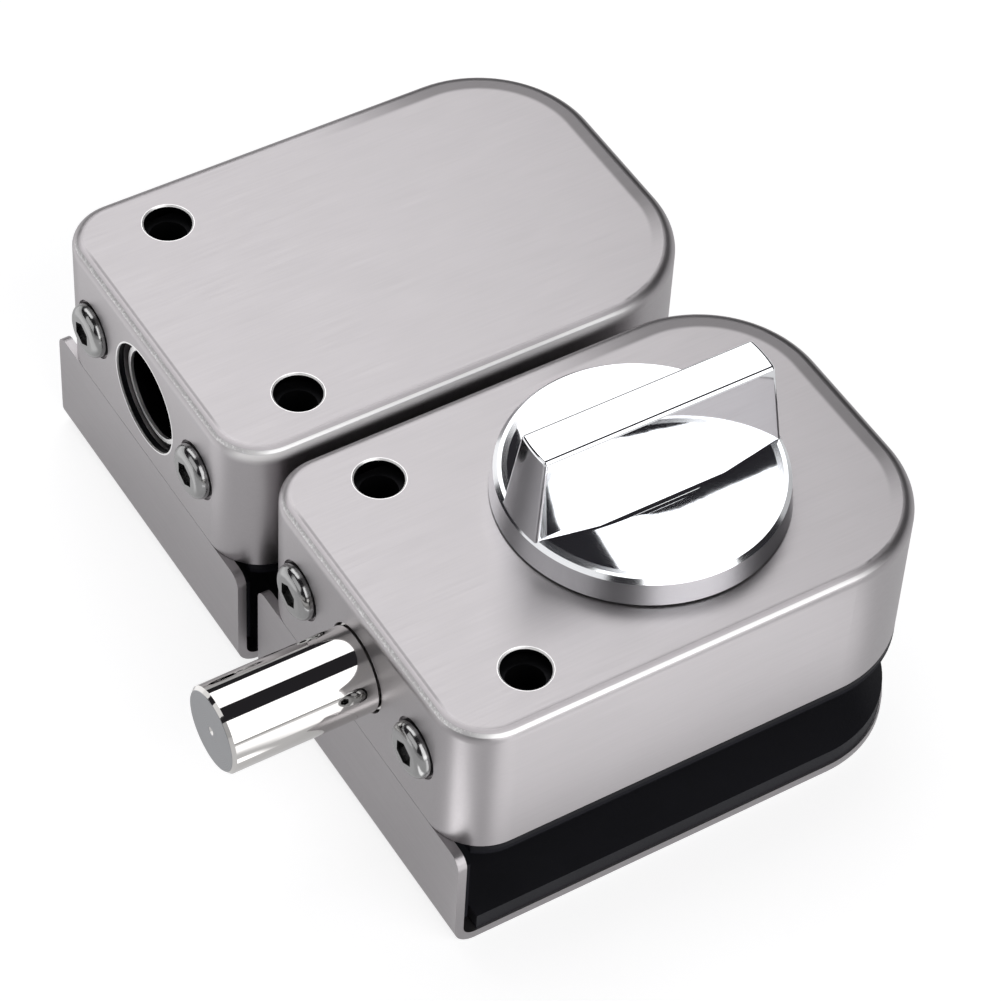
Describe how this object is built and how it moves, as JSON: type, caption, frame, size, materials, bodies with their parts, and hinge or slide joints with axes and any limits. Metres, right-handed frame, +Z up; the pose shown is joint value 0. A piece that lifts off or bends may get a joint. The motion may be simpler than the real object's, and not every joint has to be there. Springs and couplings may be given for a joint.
{
  "type": "glass door lock",
  "caption": "Clamp-on bolt lock for frameless glass doors: a lock half with thumb turn and round sliding bolt, and a receiver half with strike hole.",
  "frame": {"origin": "on the surface that both halves stand on, under the middle of the whole set with the bolt out", "axes": "+X from the end faces inwards, so the bolt points to -X; +Y from the lock half towards the receiver half; +Z up, away from the glass"},
  "size_m": [0.1126, 0.1248, 0.0663],
  "materials": {
    "satin_steel": "satin",
    "plain_steel": "machined",
    "polished_chrome": "polished",
    "zinc_block": "cast, blackened",
    "bearing_brass": "machined",
    "black_rubber": "matt",
    "black_steel": "satin black",
    "black_nylon": "moulded",
    "white_nylon": "moulded"
  },
  "bodies": {
    "lock_body": {"lock_cover": "satin_steel", "lock_bracket": "satin_steel", "lock_back_pad": "black_rubber", "lock_edge_pad": "black_rubber", "lock_base_plate": "plain_steel", "lock_base_screws": "plain_steel", "lock_clamp_block": "zinc_block", "lock_cover_screws": "satin_steel", "bolt_bush": "bearing_brass", "slide_rail_left": "white_nylon", "slide_rail_right": "white_nylon", "pivot_bush": "bearing_brass", "spindle_bush": "bearing_brass", "knob_washer": "black_nylon"},
    "thumb_turn": {"thumb_turn": "polished_chrome", "spindle": "plain_steel", "drive_pinion": "plain_steel", "spindle_clip": "plain_steel", "disc_spring": "plain_steel"},
    "bolt": {"bolt": "polished_chrome", "bolt_pin": "plain_steel", "slide_plate": "plain_steel", "rack_bar": "plain_steel", "rack_rivets": "plain_steel"},
    "lock_clamp": {"lock_clamp_screws": "black_steel", "lock_pressure_plate": "black_steel", "lock_pressure_pad": "black_rubber"},
    "receiver_body": {"receiver_cover": "satin_steel", "receiver_bracket": "satin_steel", "receiver_back_pad": "black_rubber", "receiver_edge_pad": "black_rubber", "receiver_base_plate": "plain_steel", "receiver_base_screws": "plain_steel", "receiver_clamp_block": "zinc_block", "receiver_cover_screws": "satin_steel", "strike_bush": "polished_chrome"},
    "receiver_clamp": {"receiver_clamp_screws": "black_steel", "receiver_pressure_plate": "black_steel", "receiver_pressure_pad": "black_rubber"}
  },
  "joints": [
    {"name": "thumb_turn_spin", "type": "hinge", "parent": "lock_body", "child": "thumb_turn", "pos_m": [0.0173, -0.0319, 0.0465], "axis": [0, 0, -1], "range_deg": [0, 90]},
    {"name": "bolt_slide", "type": "slide", "parent": "lock_body", "child": "bolt", "axis": [1, 0, 0], "range_m": [0, 0.022]},
    {"name": "lock_clamp_travel", "type": "slide", "parent": "lock_body", "child": "lock_clamp", "axis": [0, 0, -1], "range_m": [0, 0.0064]},
    {"name": "receiver_apart", "type": "slide", "parent": "lock_body", "child": "receiver_body", "axis": [0, 1, 0], "range_m": [0, 0.06]},
    {"name": "receiver_clamp_travel", "type": "slide", "parent": "receiver_body", "child": "receiver_clamp", "axis": [0, 0, -1], "range_m": [0, 0.0064]}
  ],
  "couplings": [
    {"joint": "bolt_slide", "follows": "thumb_turn_spin", "m_per_rad": 0.014005}
  ]
}
